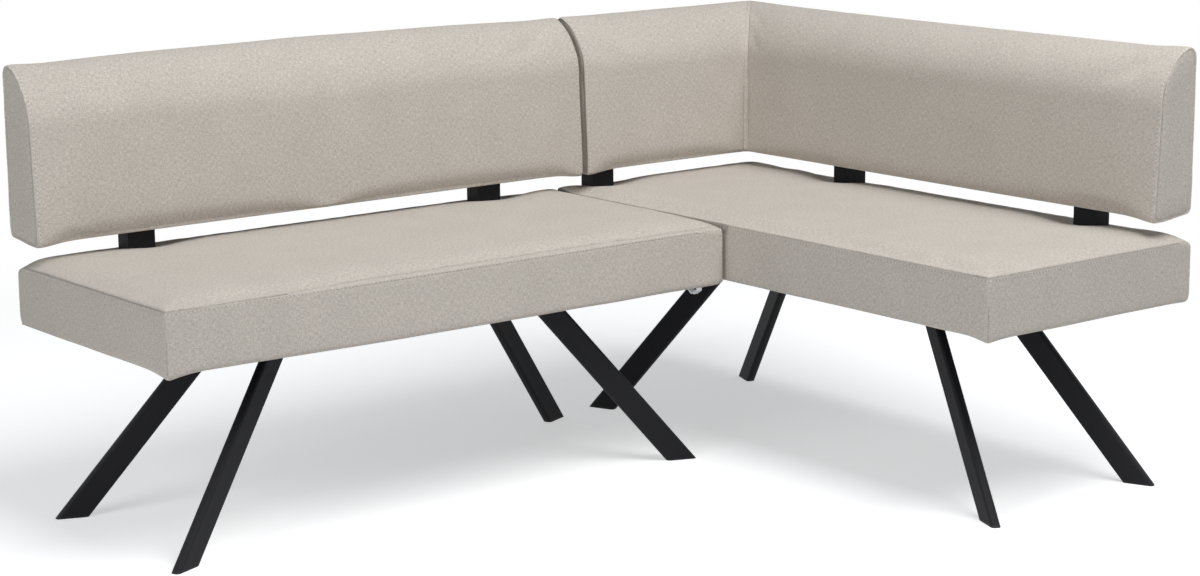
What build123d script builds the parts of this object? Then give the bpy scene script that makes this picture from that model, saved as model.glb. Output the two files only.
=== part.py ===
from build123d import *
import os
from math import cos, radians, sin, sqrt, tan

# Corner bench of two upholstered units. All sizes are in millimetres.
# The model is drawn with the walls' corner at the origin: wall A runs along X behind the straight
# bench and wall B runs along Y behind the corner bench. Every node is then moved so that the origin
# lies on the floor, in the middle of the whole bench.

# Seat pads, alike on both units
SEAT_LENGTH = 1318.0
SEAT_DEPTH = 584.0
SEAT_BOTTOM = 384.0
SEAT_THICKNESS = 120.0
SEAT_CROWN = 16.0
CROWN_STEPS = 4
SEAT_CORNER_RADIUS = 20.0
SEAT_PULL_IN = 3.0
SEAT_BULGE = 2.0
SEAT_TUCK = 5.0
SEAT_TUCK_HEIGHT = 14.0
SEAT_WALL_GAP = 16.0
UNIT_GAP = 2.0

# Seat build, from the cover inwards
COVER_SIDE = 8.0
COVER_TOP = 12.0
FOAM_CLEARANCE = 0.3
DUST_CLOTH = 1.0
RAIL_THICKNESS = 18.0
RAIL_HEIGHT = 50.0
DECK_THICKNESS = 12.0
LEG_BOARD_WIDTH = 156.0
LEG_BOARD_THICKNESS = 22.0

# Legs of flat rectangular tube, splayed towards the corners of each seat
FOOT_SPAN_LENGTH = 1194.0
FOOT_SPAN_DEPTH = 438.0
CORNER_LEG_SHIFT = 12.0
LEG_LEAN = 40.0
LEG_TURN = 22.0
LEG_TUBE_WIDTH = 50.0
LEG_TUBE_THICKNESS = 20.0
LEG_TUBE_WALL = 2.0
LEG_CORNER_RADIUS = 8.0
LEG_PLATE_LENGTH = 130.0
LEG_PLATE_WIDTH = 70.0
LEG_PLATE_THICKNESS = 5.0
LEG_BOLT_SPACING_LENGTH = 104.0
LEG_BOLT_SPACING_WIDTH = 46.0
FOOT_CAP_FLANGE = 4.0
FOOT_CAP_SPIGOT = 20.0
FOOT_CAP_CLEARANCE = 0.1

# Bolts
BOLT_DIAMETER = 8.0
BOLT_CLEARANCE = 0.1
BOLT_HEAD_DIAMETER = 15.0
BOLT_HEAD_HEIGHT = 5.0
LEG_BOLT_BITE = 18.0

# Back posts of rectangular tube
POST_WIDTH = 60.0
POST_DEPTH = 40.0
POST_WALL = 2.0
POST_OVERLAP = 214.0
POST_CLEARANCE = 0.5
STRAIGHT_LEFT_POST_INSET = 244.0
STRAIGHT_RIGHT_POST_INSET = 227.0
SHORT_WING_POST_INSET = 87.0
LONG_WING_FAR_POST = 405.0
LONG_WING_POST_INSET = 222.0
RAIL_BOLT_EDGE = 14.0
BACK_BOLT_EDGE = 46.0

# Backrests
BACK_GAP = 46.0
BACK_HEIGHT = 340.0
BACK_DEPTH_BOTTOM = 116.0
BACK_DEPTH_UPPER = 105.0
BACK_ARC_HEIGHT = 130.0
BACK_ARC_RISE = 25.5
BACK_TOP_RADIUS = 14.0
BACK_FRONT_RADIUS = 14.0
BACK_REAR_RADIUS = 8.0
BACK_CROWN = 3.0
BACK_END_DRAW = 6.0
BACK_END_ROUND = 18.0
BACK_SEAM_DRAW = 4.0
BACK_SEAM_ROUND = 22.0
END_WAIST = 0.3
END_WAIST_DRAW = 0.4
STRAIGHT_BACK_SETBACK = 3.0
SHORT_WING_SETBACK = 18.0
LONG_WING_SETBACK = 15.0
MITRE_GAP = 0.4

# Back build, from the cover inwards
BACK_COVER_REAR = 8.0
BACK_COVER_FRONT = 12.0
BACK_COVER_END = 12.0
BACK_FRAME_DROP = 38.0
BACK_FRAME_BORDER = 60.0

# Connector under the seats
CONNECTOR_SETBACK = 60.0
CONNECTOR_PLATE = 3.0
CONNECTOR_PLATE_LENGTH = 60.0
CONNECTOR_PLATE_WIDTH = 56.0
CONNECTOR_EDGE = 6.0
JAW_INSET = 24.0
JAW_SPACING = 30.0
JAW_THICKNESS = 4.0
JAW_LENGTH = 12.0
JAW_DROP = 30.0
JAW_TOE_RISE = 9.0
JAW_TOE_GAP = 8.0
TONGUE_WIDTH = 12.0
TONGUE_THICKNESS = 3.0
TONGUE_DROP = 2.5
TONGUE_REACH = 12.0
CONNECTOR_PIN_DIAMETER = 5.0
CONNECTOR_PIN_STAND = 2.0
PIN_CLEARANCE = 0.1
CONNECTOR_SCREW_SPACING = 40.0
CONNECTOR_SCREW_DIAMETER = 5.0
CONNECTOR_SCREW_HEAD = 9.0
CONNECTOR_SCREW_HEAD_HEIGHT = 2.5
CONNECTOR_SCREW_BITE = 14.0

# Worked out from the driving dimensions
SEAT_TOP = SEAT_BOTTOM + SEAT_THICKNESS
POCKET_TOP = SEAT_TOP - COVER_TOP
POCKET_LENGTH = SEAT_LENGTH - 2 * COVER_SIDE
POCKET_DEPTH = SEAT_DEPTH - 2 * COVER_SIDE
RAIL_BOTTOM = SEAT_BOTTOM + DUST_CLOTH
DECK_BOTTOM = RAIL_BOTTOM + RAIL_HEIGHT
FOAM_BOTTOM = DECK_BOTTOM + DECK_THICKNESS
RAIL_REAR_FACE = SEAT_WALL_GAP + COVER_SIDE
POST_REAR = RAIL_REAR_FACE + RAIL_THICKNESS
POST_FRONT = POST_REAR + POST_DEPTH
BACK_BOTTOM = SEAT_TOP + BACK_GAP
BACK_TOP = BACK_BOTTOM + BACK_HEIGHT
BACK_ARC_FOOT = BACK_TOP - BACK_ARC_HEIGHT
BACK_FRAME_TOP = BACK_TOP - BACK_FRAME_DROP
POST_TOP = BACK_BOTTOM + POST_OVERLAP
OVERALL_DEPTH = SEAT_WALL_GAP + SEAT_LENGTH
JUNCTION = -(SEAT_WALL_GAP + SEAT_DEPTH)
STRAIGHT_RIGHT = JUNCTION - UNIT_GAP
OVERALL_LENGTH = SEAT_LENGTH - STRAIGHT_RIGHT
STRAIGHT_BACK_LENGTH = SEAT_LENGTH - 2 * STRAIGHT_BACK_SETBACK
SHORT_WING_LENGTH = SEAT_WALL_GAP + SEAT_DEPTH - SHORT_WING_SETBACK
LONG_WING_LENGTH = OVERALL_DEPTH - LONG_WING_SETBACK
STRAIGHT_CENTRE = (STRAIGHT_RIGHT - SEAT_LENGTH / 2, -(SEAT_WALL_GAP + SEAT_DEPTH / 2))
CORNER_CENTRE = (-(SEAT_WALL_GAP + SEAT_DEPTH / 2), -(SEAT_WALL_GAP + SEAT_LENGTH / 2))

WALL_B = Location((0, 0, 0), (0, 0, -90))
STRAIGHT_SEAT = Location((*STRAIGHT_CENTRE, 0))
CORNER_SEAT = Location((*CORNER_CENTRE, 0), (0, 0, -90))
TO_BENCH_ORIGIN = Location((OVERALL_LENGTH / 2, OVERALL_DEPTH / 2, 0))

nodes = {}


def block(low, high):
    """Box between two opposite corners."""
    size = [b - a for a, b in zip(low, high)]
    return Pos(*low) * Box(*size, align=(Align.MIN, Align.MIN, Align.MIN))


def rod(start, direction, length, diameter):
    """Round rod that starts at a point and runs along a direction."""
    plane = Plane(origin=start, z_dir=direction)
    return extrude(plane * Circle(diameter / 2), length)


# Seat pads

def seat_outline(inset, height):
    """Plan outline of the pad: its corners stand proud and its sides pull in between them."""
    radius = SEAT_CORNER_RADIUS
    a = SEAT_LENGTH / 2 - inset
    b = SEAT_DEPTH / 2 - inset
    k = radius * (1 - sqrt(0.5))
    front = ThreePointArc((radius - a, -b), (0, SEAT_PULL_IN - b), (a - radius, -b))
    front_right = ThreePointArc((a - radius, -b), (a - k, k - b), (a, radius - b))
    right = ThreePointArc((a, radius - b), (a - SEAT_PULL_IN, 0), (a, b - radius))
    rear_right = ThreePointArc((a, b - radius), (a - k, b - k), (a - radius, b))
    rear = ThreePointArc((a - radius, b), (0, b - SEAT_PULL_IN), (radius - a, b))
    rear_left = ThreePointArc((radius - a, b), (k - a, b - k), (-a, b - radius))
    left = ThreePointArc((-a, b - radius), (SEAT_PULL_IN - a, 0), (-a, radius - b))
    front_left = ThreePointArc((-a, radius - b), (k - a, k - b), (radius - a, -b))
    edges = [front, front_right, right, rear_right, rear, rear_left, left, front_left]
    return Pos(0, 0, height) * make_face(edges)


def seat_pad_form():
    """Boxed pad: bulging sides tucked under at the bottom, and a crowned top panel."""
    tuck_top = SEAT_BOTTOM + SEAT_TUCK_HEIGHT
    lower = seat_outline(SEAT_BULGE, tuck_top)
    fullest = seat_outline(0, (tuck_top + SEAT_TOP) / 2)
    upper = seat_outline(SEAT_BULGE, SEAT_TOP)
    tuck = loft([seat_outline(SEAT_BULGE + SEAT_TUCK, SEAT_BOTTOM), lower])
    sides = loft([lower, fullest, upper])
    crown_sections = []
    for step in range(CROWN_STEPS):
        share = step / CROWN_STEPS
        rise = SEAT_CROWN * (1 - (1 - share) ** 2)
        crown_sections.append(seat_outline(SEAT_BULGE + share * SEAT_DEPTH / 2, SEAT_TOP + rise))
    return tuck + sides + loft(crown_sections)


def seat_pocket():
    """Room under the cover for the foam, the deck and the frame."""
    low = (-POCKET_LENGTH / 2, -POCKET_DEPTH / 2, SEAT_BOTTOM - SEAT_THICKNESS)
    return block(low, (POCKET_LENGTH / 2, POCKET_DEPTH / 2, POCKET_TOP))


def seat_slab(clearance, bottom, top):
    """Flat layer that fills the pocket in plan."""
    a = POCKET_LENGTH / 2 - clearance
    b = POCKET_DEPTH / 2 - clearance
    return block((-a, -b, bottom), (a, b, top))


def seat_rails():
    """Front, rear and end rails of a seat frame, in the seat's own axes."""
    a = POCKET_LENGTH / 2
    b = POCKET_DEPTH / 2
    inner_a = a - RAIL_THICKNESS
    inner_b = b - RAIL_THICKNESS
    bottom = RAIL_BOTTOM
    return {
        "seat_front_rail": block((-a, -b, bottom), (a, -inner_b, DECK_BOTTOM)),
        "seat_rear_rail": block((-a, inner_b, bottom), (a, b, DECK_BOTTOM)),
        "seat_end_rail_1": block((-a, -inner_b, bottom), (-inner_a, inner_b, DECK_BOTTOM)),
        "seat_end_rail_2": block((inner_a, -inner_b, bottom), (a, inner_b, DECK_BOTTOM)),
    }


# Legs

LEG_CHORD = LEG_TUBE_WIDTH / cos(radians(LEG_LEAN))
LEG_WALL_CHORD = LEG_TUBE_WALL / cos(radians(LEG_LEAN))
LEG_TOP = SEAT_BOTTOM - LEG_PLATE_THICKNESS
LEG_SIDES = {"front_left": (-1, -1), "front_right": (1, -1), "rear_left": (-1, 1), "rear_right": (1, 1)}


def leg_heading(side):
    """Plan direction, away from the seat's middle, in which a leg leans outwards."""
    return (side[0] * cos(radians(LEG_TURN)), side[1] * sin(radians(LEG_TURN)))


def leg_centre(side, height):
    """Middle of a leg's level section at a height."""
    heading = leg_heading(side)
    travel = height * tan(radians(LEG_LEAN))
    x = side[0] * FOOT_SPAN_LENGTH / 2 - heading[0] * travel
    y = side[1] * FOOT_SPAN_DEPTH / 2 - heading[1] * travel
    return (x, y, height)


def leg_frame(side, height):
    """Level work plane on the leg's middle, with X along its lean."""
    heading = leg_heading(side)
    return Plane(origin=leg_centre(side, height), x_dir=(*heading, 0), z_dir=(0, 0, 1))


def slanted_bar(side, bottom, top, inset, inset_chord):
    """Bar with the leg's level section, made smaller by an inset, between two heights."""
    width = LEG_CHORD - 2 * inset_chord
    thickness = LEG_TUBE_THICKNESS - 2 * inset
    radius = max(LEG_CORNER_RADIUS - inset, LEG_CORNER_RADIUS / 4)
    section = leg_frame(side, bottom) * RectangleRounded(width, thickness, radius)
    run = Vector(*leg_centre(side, top)) - Vector(*leg_centre(side, bottom))
    return extrude(section, run.length, dir=run.normalized())


def leg_bolt_points(side):
    """Bolt places on a leg plate, at the plate's underside."""
    frame = leg_frame(side, LEG_TOP)
    points = []
    for i in (-1, 1):
        for j in (-1, 1):
            local = (i * LEG_BOLT_SPACING_LENGTH / 2, j * LEG_BOLT_SPACING_WIDTH / 2, 0)
            points.append(frame.from_local_coords(Vector(*local)))
    return points


def leg(side):
    """Tube leg with its welded mounting plate."""
    outer = slanted_bar(side, FOOT_CAP_FLANGE, LEG_TOP, 0, 0)
    inner = slanted_bar(side, FOOT_CAP_FLANGE, LEG_TOP, LEG_TUBE_WALL, LEG_WALL_CHORD)
    plate_face = leg_frame(side, LEG_TOP) * Rectangle(LEG_PLATE_LENGTH, LEG_PLATE_WIDTH)
    plate = extrude(plate_face, LEG_PLATE_THICKNESS)
    hole = BOLT_DIAMETER + 2 * BOLT_CLEARANCE
    for point in leg_bolt_points(side):
        plate -= rod(point, (0, 0, 1), LEG_PLATE_THICKNESS, hole)
    return (outer - inner) + plate


def foot_cap(side):
    """Moulded cap: a flange under the tube and a spigot inside it."""
    flange = slanted_bar(side, 0, FOOT_CAP_FLANGE, 0, 0)
    inset = LEG_TUBE_WALL + FOOT_CAP_CLEARANCE
    inset_chord = LEG_WALL_CHORD + FOOT_CAP_CLEARANCE
    spigot_top = FOOT_CAP_FLANGE + FOOT_CAP_SPIGOT
    return flange + slanted_bar(side, FOOT_CAP_FLANGE, spigot_top, inset, inset_chord)


def leg_bolts():
    """Sixteen bolts of one unit, heads under the plates."""
    shank = LEG_PLATE_THICKNESS + DUST_CLOTH + LEG_BOLT_BITE
    bolts = []
    for side in LEG_SIDES.values():
        for point in leg_bolt_points(side):
            head = rod(point, (0, 0, -1), BOLT_HEAD_HEIGHT, BOLT_HEAD_DIAMETER)
            bolts.append(head + rod(point, (0, 0, 1), shank, BOLT_DIAMETER))
    return bolts


def leg_bolt_holes():
    """Clearance holes for the leg bolts through the cloth and the boards."""
    diameter = BOLT_DIAMETER + 2 * BOLT_CLEARANCE
    height = LEG_PLATE_THICKNESS + DUST_CLOTH + LEG_BOARD_THICKNESS
    holes = []
    for side in LEG_SIDES.values():
        for point in leg_bolt_points(side):
            holes.append(rod(point, (0, 0, 1), height, diameter))
    return holes


def leg_boards():
    """Two boards across the frame, over the leg plates."""
    half = POCKET_DEPTH / 2 - RAIL_THICKNESS
    top = RAIL_BOTTOM + LEG_BOARD_THICKNESS
    boards = []
    for direction in (-1, 1):
        middle = leg_centre((direction, 1), LEG_TOP)[0]
        low = (middle - LEG_BOARD_WIDTH / 2, -half, RAIL_BOTTOM)
        boards.append(block(low, (middle + LEG_BOARD_WIDTH / 2, half, top)))
    return boards


# Back posts, drawn against wall A with the post's place along the wall

def post_solid(place, margin, bottom, top):
    """Upright block with the post's section and a margin all round."""
    half = POST_WIDTH / 2 + margin
    return block((place - half, -POST_FRONT - margin, bottom), (place + half, margin - POST_REAR, top))


def post_bolt_points(place):
    """Bolt places on a post's front face: two at the seat rail and two at the back frame."""
    rail_heights = [RAIL_BOTTOM + RAIL_BOLT_EDGE, DECK_BOTTOM - RAIL_BOLT_EDGE]
    back_heights = [BACK_BOTTOM + BACK_BOLT_EDGE, POST_TOP - BACK_BOLT_EDGE]
    return [(place, -POST_FRONT, height) for height in rail_heights + back_heights]


def post_bolt_reach(height):
    """How far a bolt runs back from the post's front face."""
    rear = RAIL_REAR_FACE if height < BACK_BOTTOM else BACK_COVER_REAR
    return POST_FRONT - rear


def back_post(place):
    """Tube post with its bolt holes."""
    tube = post_solid(place, 0, RAIL_BOTTOM, POST_TOP)
    tube -= post_solid(place, -POST_WALL, RAIL_BOTTOM, POST_TOP)
    for hole in post_bolt_holes(place):
        tube -= hole
    return tube


def post_bolts(place):
    """Four bolts of one post, heads on its front face."""
    bolts = []
    for point in post_bolt_points(place):
        head = rod(point, (0, -1, 0), BOLT_HEAD_HEIGHT, BOLT_HEAD_DIAMETER)
        bolts.append(head + rod(point, (0, 1, 0), post_bolt_reach(point[2]), BOLT_DIAMETER))
    return bolts


def post_bolt_holes(place):
    """Clearance holes for one post's bolts."""
    diameter = BOLT_DIAMETER + 2 * BOLT_CLEARANCE
    return [rod(p, (0, 1, 0), post_bolt_reach(p[2]), diameter) for p in post_bolt_points(place)]


def post_room(place):
    """Room that a post and its bolt heads need in foam and covers."""
    room = post_solid(place, POST_CLEARANCE, RAIL_BOTTOM, POST_TOP + POST_CLEARANCE)
    head_room = BOLT_HEAD_DIAMETER + 2 * POST_CLEARANCE
    for point in post_bolt_points(place):
        room += rod(point, (0, -1, 0), BOLT_HEAD_HEIGHT + POST_CLEARANCE, head_room)
    return room


# Backrests, drawn against wall A

def back_profile(place, rear=0.0, front=0.0, top=0.0, bottom=0.0):
    """Side profile at a place along the wall, each side moved outwards by its own amount."""
    low = BACK_BOTTOM - bottom
    high = BACK_TOP + top
    back = -rear
    base = BACK_DEPTH_BOTTOM + front
    waist = BACK_DEPTH_UPPER + front
    crest = back + BACK_TOP_RADIUS
    k = sqrt(0.5)

    def point(depth, height):
        return (-depth, height)

    chord = Vector(waist - crest, BACK_ARC_FOOT - high)
    bow = Vector(-chord.Y, chord.X).normalized() * BACK_ARC_RISE
    arc_middle = Vector(crest, high) + chord * 0.5 + bow
    r1, r2, r3 = BACK_TOP_RADIUS, BACK_FRONT_RADIUS, BACK_REAR_RADIUS
    edges = [
        Line(point(back, low + r3), point(back, high - r1)),
        ThreePointArc(
            point(back, high - r1), point(back + r1 * (1 - k), high - r1 * (1 - k)), point(crest, high)
        ),
        ThreePointArc(point(crest, high), point(arc_middle.X, arc_middle.Y), point(waist, BACK_ARC_FOOT)),
        Line(point(waist, BACK_ARC_FOOT), point(base, low + r2)),
        ThreePointArc(
            point(base, low + r2), point(base - r2 * (1 - k), low + r2 * (1 - k)), point(base - r2, low)
        ),
        Line(point(base - r2, low), point(back + r3, low)),
        ThreePointArc(
            point(back + r3, low), point(back + r3 * (1 - k), low + r3 * (1 - k)), point(back, low + r3)
        ),
    ]
    return Plane.YZ.offset(place) * make_face(edges)


def swollen_profile(place, swell):
    """Side profile of a back cover that stands out by a swell, or is drawn in where it is negative."""
    return back_profile(place, front=swell, top=swell, bottom=swell / 2)


def drawn_end(edge, inner, draw):
    """Rounded end of a back cover, drawn in towards a seam."""
    waist = edge + (inner - edge) * END_WAIST
    sections = [
        swollen_profile(edge, -draw),
        swollen_profile(waist, -draw * END_WAIST_DRAW),
        swollen_profile(inner, 0),
    ]
    return loft(sections, ruled=True)


def pillow(start, end, start_draw, start_round, end_draw, end_round):
    """Stretch of back cover that swells between two drawn-in ends."""
    first = start + start_round
    last = end - end_round
    middle = (first + last) / 2
    body = loft([swollen_profile(first, 0), swollen_profile(middle, BACK_CROWN), swollen_profile(last, 0)])
    return drawn_end(start, first, start_draw) + body + drawn_end(end, last, end_draw)


def back_inside(start, end, clearance):
    """Room inside a back cover, or the foam that fills it."""
    inner = back_profile(
        start,
        rear=-BACK_COVER_REAR - clearance,
        front=-BACK_COVER_FRONT - clearance,
        top=-BACK_COVER_FRONT - clearance,
        bottom=-BACK_COVER_REAR - clearance,
    )
    return extrude(inner, end - start, dir=(1, 0, 0))


def frame_block(start, end):
    """Outer block of a back frame."""
    low = (start, -POST_REAR, BACK_BOTTOM + BACK_COVER_REAR)
    return block(low, (end, -BACK_COVER_REAR, BACK_FRAME_TOP))


def back_frame(start, end, posts):
    """Plywood back frame with windows between its stiles."""
    low = BACK_BOTTOM + BACK_COVER_REAR
    panel = frame_block(start, end)
    stops = [start, *posts, end]
    for left, right in zip(stops[:-1], stops[1:]):
        left_edge = left + BACK_FRAME_BORDER
        right_edge = right - BACK_FRAME_BORDER
        if right_edge - left_edge > BACK_FRAME_BORDER:
            window_low = (left_edge, -POST_REAR, low + BACK_FRAME_BORDER)
            window_high = (right_edge, -BACK_COVER_REAR, BACK_FRAME_TOP - BACK_FRAME_BORDER)
            panel -= block(window_low, window_high)
    for place in posts:
        for hole in post_bolt_holes(place):
            panel -= hole
    return panel


def frame_room(start, end):
    """Room for a back frame in the foam."""
    low = (start, -POST_REAR - FOAM_CLEARANCE, BACK_BOTTOM)
    return block(low, (end, 0, BACK_FRAME_TOP + FOAM_CLEARANCE))


def mitre_wedge(wing):
    """Everything past the mitre of the inner corner, seen from one wing."""
    reach = 2 * BACK_DEPTH_BOTTOM
    points = [(reach - MITRE_GAP, reach), (-reach - MITRE_GAP, -reach), (reach, -reach)]
    if wing == "long":
        points = [(y, x) for x, y in points]
    outline = make_face(Polyline(*points, close=True))
    return extrude(Pos(0, 0, SEAT_BOTTOM) * outline, BACK_TOP, dir=(0, 0, 1))


# Connector under the seats

CONNECTOR_Y = JUNCTION + CONNECTOR_SETBACK
PLATE_BOTTOM = SEAT_BOTTOM - CONNECTOR_PLATE
TONGUE_TOP = PLATE_BOTTOM - TONGUE_DROP
TONGUE_BOTTOM = TONGUE_TOP - TONGUE_THICKNESS
STRAIGHT_SCREW_X = STRAIGHT_RIGHT - COVER_SIDE - RAIL_THICKNESS / 2
CORNER_SCREW_X = JUNCTION + COVER_SIDE + RAIL_THICKNESS / 2
JAW_PLATE_END = STRAIGHT_RIGHT - CONNECTOR_EDGE
JAW_END = JAW_PLATE_END - JAW_INSET


def connector_plate(start, end):
    """Flat plate under a seat, centred on the connector."""
    half = CONNECTOR_PLATE_WIDTH / 2
    return block((start, CONNECTOR_Y - half, PLATE_BOTTOM), (end, CONNECTOR_Y + half, SEAT_BOTTOM))


def connector_screw_points(x):
    """Two screw places across a plate."""
    half = CONNECTOR_SCREW_SPACING / 2
    return [(x, CONNECTOR_Y - half, PLATE_BOTTOM), (x, CONNECTOR_Y + half, PLATE_BOTTOM)]


def connector_screw(point):
    """Flat-headed screw with its head under its plate."""
    shank = CONNECTOR_PLATE + DUST_CLOTH + CONNECTOR_SCREW_BITE
    head = rod(point, (0, 0, -1), CONNECTOR_SCREW_HEAD_HEIGHT, CONNECTOR_SCREW_HEAD)
    return head + rod(point, (0, 0, 1), shank, CONNECTOR_SCREW_DIAMETER)


def connector_screw_holes(x):
    """Holes for the screws through the plate, the cloth and the rail."""
    depth = CONNECTOR_PLATE + DUST_CLOTH + CONNECTOR_SCREW_BITE + BOLT_CLEARANCE
    diameter = CONNECTOR_SCREW_DIAMETER + 2 * BOLT_CLEARANCE
    return [rod(point, (0, 0, 1), depth, diameter) for point in connector_screw_points(x)]


def connector_pin(margin):
    """Cross pin through both jaws, just under the tongue."""
    diameter = CONNECTOR_PIN_DIAMETER + 2 * margin
    reach = JAW_SPACING / 2 + JAW_THICKNESS / 2 + CONNECTOR_PIN_STAND + margin
    height = TONGUE_BOTTOM - PIN_CLEARANCE - CONNECTOR_PIN_DIAMETER / 2
    start = (JAW_END - JAW_LENGTH / 2, CONNECTOR_Y - reach, height)
    return rod(start, (0, 1, 0), 2 * reach, diameter)


def connector_jaw(direction):
    """Bent strip that hangs from its plate and turns in to a toe below the tongue."""
    outer = JAW_SPACING / 2 + JAW_THICKNESS / 2
    inner = outer - JAW_THICKNESS
    toe = JAW_TOE_GAP / 2
    bottom = SEAT_BOTTOM - JAW_DROP
    knee = bottom + JAW_TOE_RISE
    side = [(inner, PLATE_BOTTOM), (outer, PLATE_BOTTOM), (outer, knee), (toe, bottom)]
    side += [(toe, bottom + JAW_THICKNESS), (inner, knee + JAW_THICKNESS)]
    points = [(CONNECTOR_Y + direction * across, height) for across, height in side]
    outline = make_face(Plane.YZ * Polyline(*points, close=True))
    return extrude(Pos(JAW_END - JAW_LENGTH, 0, 0) * outline, JAW_LENGTH, dir=(1, 0, 0))


def connector_jaws():
    """Plate with two bent jaws that hang below the straight seat."""
    solid = connector_plate(JAW_PLATE_END - CONNECTOR_PLATE_LENGTH, JAW_PLATE_END)
    for direction in (-1, 1):
        solid += connector_jaw(direction)
    for hole in connector_screw_holes(STRAIGHT_SCREW_X):
        solid -= hole
    return solid - connector_pin(PIN_CLEARANCE)


def connector_tongue():
    """Plate under the corner seat with a cranked tongue that lies between the jaws."""
    start = JUNCTION + CONNECTOR_EDGE
    solid = connector_plate(start, start + CONNECTOR_PLATE_LENGTH)
    half = TONGUE_WIDTH / 2
    web_end = start + TONGUE_THICKNESS
    solid += block((start, CONNECTOR_Y - half, TONGUE_BOTTOM), (web_end, CONNECTOR_Y + half, PLATE_BOTTOM))
    tip = JAW_END - TONGUE_REACH
    solid += block((tip, CONNECTOR_Y - half, TONGUE_BOTTOM), (web_end, CONNECTOR_Y + half, TONGUE_TOP))
    for hole in connector_screw_holes(CORNER_SCREW_X):
        solid -= hole
    return solid


# Nodes of one unit's seat and legs

def add_seat_unit(name, place, leg_shift, post_rooms, rail_holes):
    """Everything below the backrest of one unit, with its legs shifted to the rear and room for the posts."""
    slots = Part() + post_rooms
    leg_place = Pos(0, leg_shift, 0)
    cover = place * (seat_pad_form() - seat_pocket()) - slots
    nodes[f"{name}_seat_cover"] = cover
    foam = seat_slab(FOAM_CLEARANCE, FOAM_BOTTOM, POCKET_TOP - FOAM_CLEARANCE)
    nodes[f"{name}_seat_foam"] = place * foam - slots
    nodes[f"{name}_seat_deck"] = place * seat_slab(0, DECK_BOTTOM, FOAM_BOTTOM) - slots
    for rail_name, rail in seat_rails().items():
        placed = place * rail
        for hole in rail_holes:
            placed -= hole
        nodes[f"{name}_{rail_name}"] = placed
    bolt_holes = leg_place * (Part() + leg_bolt_holes())
    for number, board in enumerate(leg_boards(), start=1):
        nodes[f"{name}_leg_board_{number}"] = place * (board - bolt_holes) - slots
    cloth = seat_slab(0, SEAT_BOTTOM, RAIL_BOTTOM) - bolt_holes
    nodes[f"{name}_dust_cloth"] = place * cloth
    for side_name, side in LEG_SIDES.items():
        nodes[f"{name}_leg_{side_name}"] = place * leg_place * leg(side)
        nodes[f"{name}_foot_cap_{side_name}"] = place * leg_place * foot_cap(side)
    nodes[f"{name}_leg_bolts"] = Compound(children=[place * leg_place * bolt for bolt in leg_bolts()])


# Straight bench

straight_middle = STRAIGHT_CENTRE[0]
straight_left = STRAIGHT_RIGHT - SEAT_LENGTH
straight_posts = [straight_left + STRAIGHT_LEFT_POST_INSET, STRAIGHT_RIGHT - STRAIGHT_RIGHT_POST_INSET]
straight_rooms = [post_room(place) for place in straight_posts]
straight_holes = [hole for place in straight_posts for hole in post_bolt_holes(place)]
add_seat_unit("straight", STRAIGHT_SEAT, 0, straight_rooms, straight_holes)

for side_name, place in zip(("left", "right"), straight_posts):
    nodes[f"straight_back_post_{side_name}"] = back_post(place)
nodes["straight_post_bolts"] = Compound(children=[b for place in straight_posts for b in post_bolts(place)])

back_start = straight_middle - STRAIGHT_BACK_LENGTH / 2
back_end = straight_middle + STRAIGHT_BACK_LENGTH / 2
left_half = pillow(
    back_start, straight_middle, BACK_END_DRAW, BACK_END_ROUND, BACK_SEAM_DRAW, BACK_SEAM_ROUND
)
right_half = pillow(
    straight_middle, back_end, BACK_SEAM_DRAW, BACK_SEAM_ROUND, BACK_END_DRAW, BACK_END_ROUND
)
inside_start = back_start + BACK_COVER_END
inside_end = back_end - BACK_COVER_END
straight_cover = left_half + right_half - back_inside(inside_start, inside_end, 0)
straight_cover -= frame_block(inside_start, inside_end)
straight_foam = back_inside(inside_start + FOAM_CLEARANCE, inside_end - FOAM_CLEARANCE, FOAM_CLEARANCE)
straight_foam -= frame_room(inside_start, inside_end)
for room in straight_rooms:
    straight_cover -= room
    straight_foam -= room
nodes["straight_back_cover"] = straight_cover
nodes["straight_back_foam"] = straight_foam
nodes["straight_back_frame"] = back_frame(inside_start, inside_end, straight_posts)

# Corner bench

short_post = JUNCTION + SHORT_WING_POST_INSET
long_posts = [LONG_WING_FAR_POST, OVERALL_DEPTH - LONG_WING_POST_INSET]
short_room = post_room(short_post)
long_rooms = [WALL_B * post_room(place) for place in long_posts]
corner_rooms = [short_room, *long_rooms]
corner_holes = post_bolt_holes(short_post)
corner_holes += [WALL_B * hole for place in long_posts for hole in post_bolt_holes(place)]
add_seat_unit("corner", CORNER_SEAT, CORNER_LEG_SHIFT, corner_rooms, corner_holes)

nodes["corner_back_post_short_wing"] = back_post(short_post)
for side_name, place in zip(("far", "near"), long_posts):
    nodes[f"corner_back_post_{side_name}"] = WALL_B * back_post(place)
corner_bolts = post_bolts(short_post)
corner_bolts += [WALL_B * bolt for place in long_posts for bolt in post_bolts(place)]
nodes["corner_post_bolts"] = Compound(children=corner_bolts)

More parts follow.
